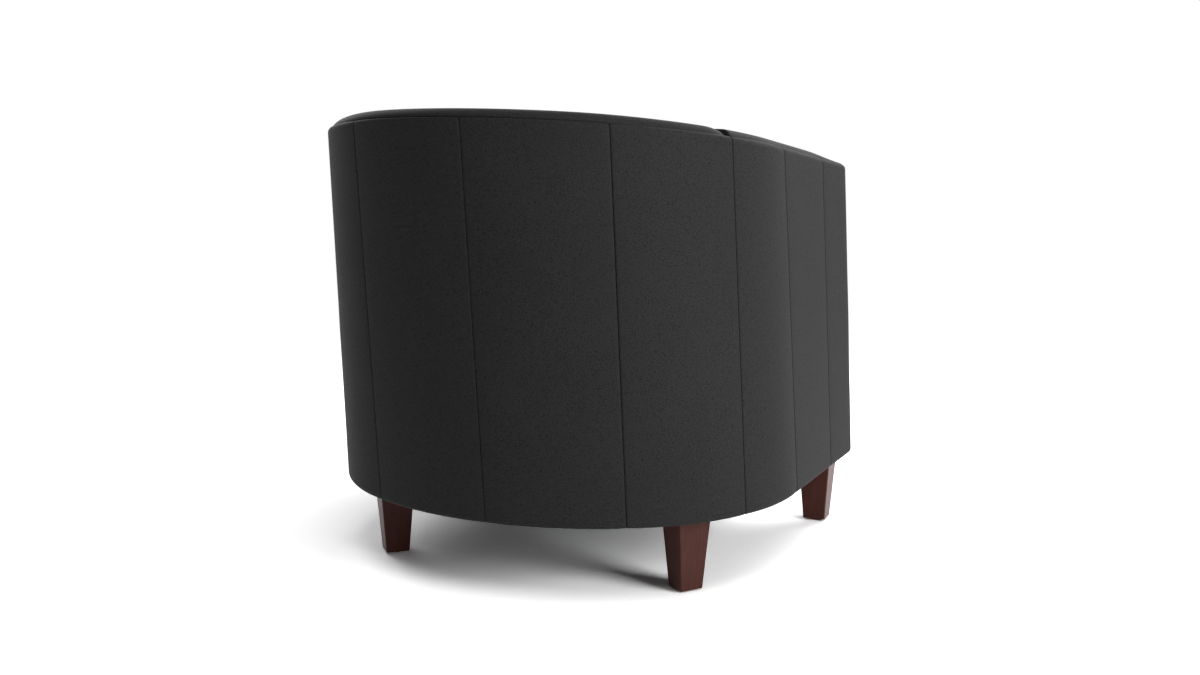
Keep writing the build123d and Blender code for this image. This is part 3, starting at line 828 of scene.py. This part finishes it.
def seat_cushion():
    """Boxed cushion: crowned top and bottom panels drawn in at the welted seams of a full border."""
    outline = SEAT.inset(CUSHION_GAP)
    outline.front = CUSHION_FRONT
    outline.corner = CUSHION_CORNER
    seam_grid = patch(outline.inset(CUSHION_DRAW_IN, CUSHION_DRAW_IN), CUSHION_BOW, CUSHION_CELLS)
    seam_flats = [flat for line in seam_grid for flat in line]
    belly = [flat for line in patch(outline, CUSHION_BOW, CUSHION_CELLS) for flat in line]
    points = cushion_panels(seam_grid, 2 * outline.station(2, 1)[0].x, SEAT_REAR - CUSHION_FRONT)
    lines = CUSHION_CELLS + 1
    size = lines * lines
    faces = grid_faces(lines, lines) + grid_faces(lines, lines, size, flip=True)
    loop = rim_loop(lines, lines)
    first, *turns = [math.radians(degrees) for degrees in range(-WELT_TURN, WELT_TURN + 1, WELT_STEP)]
    seams = []
    for place in loop:
        seam = Vector((*seam_flats[place], 0))
        out = (belly[place] - seam_flats[place]).normalized()
        seams.append((place, seam, out))
        points[place] = welt_point(seam, out, CUSHION_SEAM_TOP, 1, first)
        points[place + size] = welt_point(seam, out, CUSHION_SEAM_LOW, -1, first)
    free = set(range(size)) - set(loop)
    previous = [place + size for place in loop]
    for height, welt, value in cushion_rows(turns):
        ring = list(range(len(points), len(points) + len(loop)))
        for spot, (place, seam, out) in zip(ring, seams):
            if welt:
                points.append(welt_point(seam, out, height, welt, value))
                continue
            flat = seam_flats[place].lerp(belly[place], math.sin(math.pi * value)**CUSHION_SIDE_POWER)
            points.append(Vector((flat.x, flat.y, height)))
            if out.y < CLOTH_FREE_LIMIT:
                free.add(spot)
        faces += band(previous, ring)
        previous = ring
    faces += band(previous, loop)
    held = [spot for spot in range(len(points)) if spot not in free]
    return inflate(add_mesh("seat_cushion_cover", points, faces), held)


def flat_size(outline):
    """Width and depth of an outline."""
    return 2 * outline.station(2, 1)[0].x, outline.rear - outline.front


def flat_sheet(name, outline, bottom, thickness, sag=0):
    """A closed thin sheet of an outline's shape, sagging away from its edge."""
    width, depth = flat_size(outline)
    outer = []
    inner = []
    for row, line in enumerate(patch(outline, 0, SHEET_CELLS)):
        outer_row = []
        for column, flat in enumerate(line):
            edge = edge_distance(row, column, SHEET_CELLS, width, depth)
            fall = sag * (1 - math.exp(-(edge / DUST_SAG_REACH)**2))
            outer_row.append(Vector((flat.x, flat.y, bottom - fall)))
        outer.append(outer_row)
        inner.append([point + UP * thickness for point in outer_row])
    return closed_sheet(name, outer, inner)


def dress(piece, material, slot_name, *nodes):
    """Gives a piece its material and body and hides the solids that it stands for; its slot name is not
    used.
    """
    piece.data.materials.clear()
    piece.data.materials.append(material)
    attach(piece, "root")
    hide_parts(*nodes)
    return piece


def shader(name):
    """A new material with its node tree and principled shader."""
    material = bpy.data.materials.new(name)
    material.use_nodes = True
    nodes = material.node_tree.nodes
    return material, nodes, material.node_tree.links, nodes["Principled BSDF"]


def texture(nodes, links, kind, scale, **settings):
    """A procedural texture in the chair's own coordinates."""
    place = nodes.new("ShaderNodeTexCoord")
    node = nodes.new(kind)
    node.inputs["Scale"].default_value = scale
    for key, value in settings.items():
        if key in node.inputs:
            node.inputs[key].default_value = value
        else:
            setattr(node, key, value)
    links.new(place.outputs["Object"], node.inputs["Vector"])
    return node


def ramp(nodes, links, source, tones):
    """A colour ramp between two colours, driven by a texture's value."""
    node = nodes.new("ShaderNodeValToRGB")
    for element, tone in zip(node.color_ramp.elements, tones):
        element.color = (*tone, 1)
    links.new(source, node.inputs["Fac"])
    return node


def spread_value(nodes, links, source, low, high):
    """A texture's value spread between two numbers."""
    node = nodes.new("ShaderNodeMapRange")
    node.inputs["To Min"].default_value = low
    node.inputs["To Max"].default_value = high
    links.new(source, node.inputs["Value"])
    return node


def bump(nodes, links, source, strength, depth):
    """A relief of the surface, driven by a texture's value."""
    node = nodes.new("ShaderNodeBump")
    node.inputs["Strength"].default_value = strength
    node.inputs["Distance"].default_value = depth
    links.new(source, node.inputs["Height"])
    return node


def leather_material():
    """Black upholstery leather: pebble grain with painted light on its tops and painted shade in its
    hollows, fine pores and a satin finish that varies a little.
    """
    material, nodes, links, surface = shader("black_leather")
    cloudy = texture(nodes, links, "ShaderNodeTexNoise", CLOUD_SCALE, Detail=4.0)
    tone = ramp(nodes, links, cloudy.outputs["Fac"], LEATHER_TONES)
    pebble = texture(nodes, links, "ShaderNodeTexVoronoi", PEBBLE_SCALE, feature="SMOOTH_F1",
                     Smoothness=0.35)
    # Painted light on the pebble tops and painted shade in the hollows between them, from the pebble's
    # distance
    painted_grain_shade = spread_value(nodes, links, pebble.outputs["Distance"], *PEBBLE_PAINTED_SHADE)
    # The leather's tone times that painted pebble light and shade
    grain = nodes.new("ShaderNodeVectorMath")
    grain.operation = "SCALE"
    links.new(tone.outputs["Color"], grain.inputs[0])
    links.new(painted_grain_shade.outputs["Result"], grain.inputs["Scale"])
    links.new(grain.outputs["Vector"], surface.inputs["Base Color"])
    rough = spread_value(nodes, links, cloudy.outputs["Fac"], *LEATHER_ROUGHNESS)
    links.new(rough.outputs["Result"], surface.inputs["Roughness"])
    surface.inputs["Specular IOR Level"].default_value = 0.08
    pore = texture(nodes, links, "ShaderNodeTexNoise", PORE_SCALE, Detail=2.0)
    coarse = bump(nodes, links, pebble.outputs["Distance"], strength=0.90, depth=PEBBLE_DEPTH)
    coarse.invert = True
    fine = bump(nodes, links, pore.outputs["Fac"], strength=0.12, depth=PORE_DEPTH)
    links.new(coarse.outputs["Normal"], fine.inputs["Normal"])
    links.new(fine.outputs["Normal"], surface.inputs["Normal"])
    return material


def stained_wood_material():
    """Dark red-brown stained hardwood under satin lacquer, grain running up the leg."""
    material, nodes, links, surface = shader("stained_wood")
    place = nodes.new("ShaderNodeTexCoord")
    stretch = nodes.new("ShaderNodeMapping")
    stretch.inputs["Scale"].default_value = WOOD_GRAIN_STRETCH
    links.new(place.outputs["Object"], stretch.inputs["Vector"])
    grain = nodes.new("ShaderNodeTexNoise")
    grain.inputs["Scale"].default_value = WOOD_GRAIN_SCALE
    grain.inputs["Detail"].default_value = 6.0
    links.new(stretch.outputs["Vector"], grain.inputs["Vector"])
    tone = ramp(nodes, links, grain.outputs["Fac"], WOOD_TONES)
    links.new(tone.outputs["Color"], surface.inputs["Base Color"])
    surface.inputs["Roughness"].default_value = 0.40
    surface.inputs["Specular IOR Level"].default_value = 0.10
    surface.inputs["Coat Weight"].default_value = 0.04
    surface.inputs["Coat Roughness"].default_value = 0.22
    relief = bump(nodes, links, grain.outputs["Fac"], strength=0.08, depth=WOOD_GRAIN_DEPTH)
    links.new(relief.outputs["Normal"], surface.inputs["Normal"])
    return material


def plain_material(name, tones, scale, roughness, metallic=0.0):
    """A finish whose tone varies a little over its surface."""
    material, nodes, links, surface = shader(name)
    cloudy = texture(nodes, links, "ShaderNodeTexNoise", scale, Detail=5.0)
    tone = ramp(nodes, links, cloudy.outputs["Fac"], tones)
    links.new(tone.outputs["Color"], surface.inputs["Base Color"])
    surface.inputs["Roughness"].default_value = roughness
    surface.inputs["Metallic"].default_value = metallic
    return material


LEATHER = leather_material()
WOOD = stained_wood_material()
FELT = plain_material("deck_felt", ((0.012,) * 3, (0.030,) * 3), scale=900.0, roughness=0.95)
DUST = plain_material("dust_fabric", ((0.012,) * 3, (0.030,) * 3), scale=1200.0, roughness=0.92)
PLYWOOD = plain_material("plywood", ((0.50, 0.34, 0.19), (0.66, 0.47, 0.28)), scale=40.0, roughness=0.65)
TIMBER = plain_material("frame_timber", ((0.42, 0.27, 0.14), (0.58, 0.40, 0.23)), scale=30.0, roughness=0.65)
BOARD = plain_material("lining_board", ((0.28, 0.21, 0.14), (0.36, 0.28, 0.20)), scale=300.0, roughness=0.9)
SPRING = plain_material("spring_steel", ((0.20, 0.20, 0.21), (0.30, 0.30, 0.31)), scale=60.0, roughness=0.38,
                        metallic=1.0)
ZINC = plain_material("zinc_steel", ((0.52, 0.52, 0.50), (0.64, 0.64, 0.62)), scale=80.0, roughness=0.35,
                      metallic=1.0)
NYLON = plain_material("glide_plastic", ((0.02,) * 3, (0.04,) * 3), scale=200.0, roughness=0.45)

# Finishes of the solids that stay, by the ends of their names
FINISHES = ((ZINC, ("leg_bolts", "leg_nuts", "corner_screws", "spring_clips")),
            (NYLON, ("foot_glides",)),
            (WOOD, ("_leg",)),
            (BOARD, ("lining",)),
            (PLYWOOD, ("base_ring", "seat_ring", "top_rail")),
            (TIMBER, ("_post", "front_rail", "corner_blocks")),
            (SPRING, ("seat_springs",)))


def panel_height(distance):
    """Height of a panel's leather at a distance along the base, with its hem and top edge."""
    rows = [row[0] for row in wall_profile(distance)]
    return sum((after - before).length for before, after in zip(rows, rows[1:]))


def build_outer_panels():
    """Ten leather panels round the outside."""
    ends = (0.0, *SEAMS, BASE_END)
    for side, word in SIDES:
        for number, (start, end) in enumerate(zip(ends, ends[1:]), start=1):
            node = f"{word}_outer_panel_{number}"
            piece = dress(outer_panel(node + "_cover", start, end, side), LEATHER, "black_leather", node)
            flat = (end - start, panel_height((start + end) / 2))


def build_pads():
    """Inside back and arms."""
    back = dress(inside_back_pad(), LEATHER, "black_leather", "inside_back_pad")
    for side, word in SIDES:
        node = f"{word}_inside_arm_pad"
        pad = dress(inside_arm_pad(node + "_cover", side), LEATHER, "black_leather", node)


def build_fronts():
    """Arm fronts and the border under the cushion."""
    corner_x = BASE.station(3, 1)[0].x
    half = arm_inside(BODY_BOTTOM)
    for side, word in SIDES:
        node = f"{word}_arm_front_panel"
        piece = dress(arm_front_panel(node + "_cover", side), LEATHER, "black_leather", node)
        flat = (corner_x - half, panel_height(BASE_END))
    border = dress(front_border(), LEATHER, "black_leather", "front_border")


def build_seat():
    """Cushion, deck and dust cover."""
    cushion = dress(seat_cushion(), LEATHER, "black_leather", "seat_cushion")
    deck_outline = SEAT.inset(-COVER, BORDER_LAP)
    deck_bottom = DECK_HEIGHT + BORDER_LIFT - DECK_PAD
    deck = flat_sheet("seat_deck_cover", deck_outline, deck_bottom, DECK_PAD)
    dress(deck, FELT, "deck_felt", "seat_deck")
    flat_size(deck_outline)
    dust_outline = BASE.inset(DUST_INSET, DUST_INSET)
    dust_bottom = BODY_BOTTOM - DUST_DROP - DUST_THICKNESS
    dust = flat_sheet("dust_cover_cloth", dust_outline, dust_bottom, DUST_THICKNESS, DUST_SAG)
    dress(dust, DUST, "dust_fabric", "dust_cover")
    flat_size(dust_outline)


def dress_cad():
    """Gives the solids that stay their finishes."""
    for name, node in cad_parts.items():
        for material, endings in FINISHES:
            if name.endswith(endings):
                node.data.materials.clear()
                node.data.materials.append(material)


def seen_rays(tree):
    """1 for what the camera sees, straight, mirrored or through glass, and 0 for light on a surface."""
    path = tree.nodes.new("ShaderNodeLightPath")
    seen = path.outputs["Is Camera Ray"]
    for ray in ("Is Glossy Ray", "Is Transmission Ray"):
        either = tree.nodes.new("ShaderNodeMath")
        either.operation = "MAXIMUM"
        tree.links.new(seen, either.inputs[0])
        tree.links.new(path.outputs[ray], either.inputs[1])
        seen = either.outputs["Value"]
    return seen


def build_surroundings():
    """A white studio where it is seen, and only a faint fill as light."""
    world = bpy.data.worlds.new("studio")
    bpy.context.scene.world = world
    world.use_nodes = True
    tree = world.node_tree
    choice = tree.nodes.new("ShaderNodeMix")
    choice.inputs["A"].default_value = FILL_LIGHT
    choice.inputs["B"].default_value = 1.0
    tree.links.new(seen_rays(tree), choice.inputs["Factor"])
    background = tree.nodes["Background"]
    background.inputs["Color"].default_value = (1, 1, 1, 1)
    tree.links.new(choice.outputs["Result"], background.inputs["Strength"])


def floor_material():
    """Pale floor, lifted towards white where it is seen and fading into the studio away from the chair."""
    material = bpy.data.materials.new("floor")
    material.use_nodes = True
    tree = material.node_tree
    pale = tree.nodes.new("ShaderNodeBsdfDiffuse")
    pale.inputs["Color"].default_value = (FLOOR_TONE, FLOOR_TONE, FLOOR_TONE, 1)
    lift = tree.nodes.new("ShaderNodeMath")
    lift.operation = "MULTIPLY"
    lift.inputs[1].default_value = FLOOR_LIFT
    seen = seen_rays(tree)
    tree.links.new(seen, lift.inputs[0])
    lifted = tree.nodes.new("ShaderNodeBsdfDiffuse")
    tree.links.new(lift.outputs["Value"], lifted.inputs["Color"])
    both = tree.nodes.new("ShaderNodeAddShader")
    tree.links.new(pale.outputs["BSDF"], both.inputs[0])
    tree.links.new(lifted.outputs["BSDF"], both.inputs[1])
    place = tree.nodes.new("ShaderNodeTexCoord")
    reach = tree.nodes.new("ShaderNodeVectorMath")
    reach.operation = "LENGTH"
    tree.links.new(place.outputs["Object"], reach.inputs[0])
    fade = tree.nodes.new("ShaderNodeMapRange")
    fade.interpolation_type = "SMOOTHSTEP"
    fade.inputs["From Min"].default_value = FLOOR_FADE[0]
    fade.inputs["From Max"].default_value = FLOOR_FADE[1]
    tree.links.new(reach.outputs["Value"], fade.inputs["Value"])
    away = tree.nodes.new("ShaderNodeMath")
    away.operation = "MULTIPLY"
    tree.links.new(fade.outputs["Result"], away.inputs[0])
    tree.links.new(seen, away.inputs[1])
    white = tree.nodes.new("ShaderNodeEmission")
    choice = tree.nodes.new("ShaderNodeMixShader")
    tree.links.new(away.outputs["Value"], choice.inputs["Fac"])
    tree.links.new(both.outputs["Shader"], choice.inputs[1])
    tree.links.new(white.outputs["Emission"], choice.inputs[2])
    tree.links.new(choice.outputs["Shader"], tree.nodes["Material Output"].inputs["Surface"])
    return material


def softbox(name, azimuth, elevation, size, power):
    """A square soft light aimed at the middle of the chair."""
    lamp = bpy.data.lights.new(name, "AREA")
    lamp.energy = power
    lamp.size = size
    light = bpy.data.objects.new(name, lamp)
    turn = math.radians(azimuth)
    rise = math.radians(elevation)
    heading = Vector((-math.sin(turn) * math.cos(rise), math.cos(turn) * math.cos(rise), math.sin(rise)))
    light.location = BOX_AIM + heading * BOX_DISTANCE
    light.rotation_mode = "QUATERNION"
    light.rotation_quaternion = heading.to_track_quat("Z", "Y")
    bpy.context.scene.collection.objects.link(light)


def build_stage():
    """Plain pale floor and backdrop, soft studio lights and the camera."""
    mesh = bpy.data.meshes.new("floor")
    corners = ((-1, -1, 0), (1, -1, 0), (1, 1, 0), (-1, 1, 0))
    mesh.from_pydata([Vector(corner) * FLOOR_REACH for corner in corners], [], [(0, 1, 2, 3)])
    floor = bpy.data.objects.new("floor", mesh)
    bpy.context.scene.collection.objects.link(floor)
    floor.data.materials.append(floor_material())

    build_surroundings()
    camera = bpy.data.objects.new("camera", bpy.data.cameras.new("camera"))
    camera.data.lens = CAMERA_LENS
    camera.data.sensor_width = CAMERA_SENSOR
    camera.location = CAMERA_PLACE
    camera.rotation_mode = "QUATERNION"
    camera.rotation_quaternion = CAMERA_AIM.to_track_quat("-Z", "Y")
    bpy.context.scene.collection.objects.link(camera)
    bpy.context.scene.camera = camera

    for box in SOFT_BOXES:
        softbox(*box)
    bpy.context.scene.view_settings.view_transform = "Standard"


build_outer_panels()
build_pads()
build_fronts()
build_seat()
dress_cad()
build_stage()
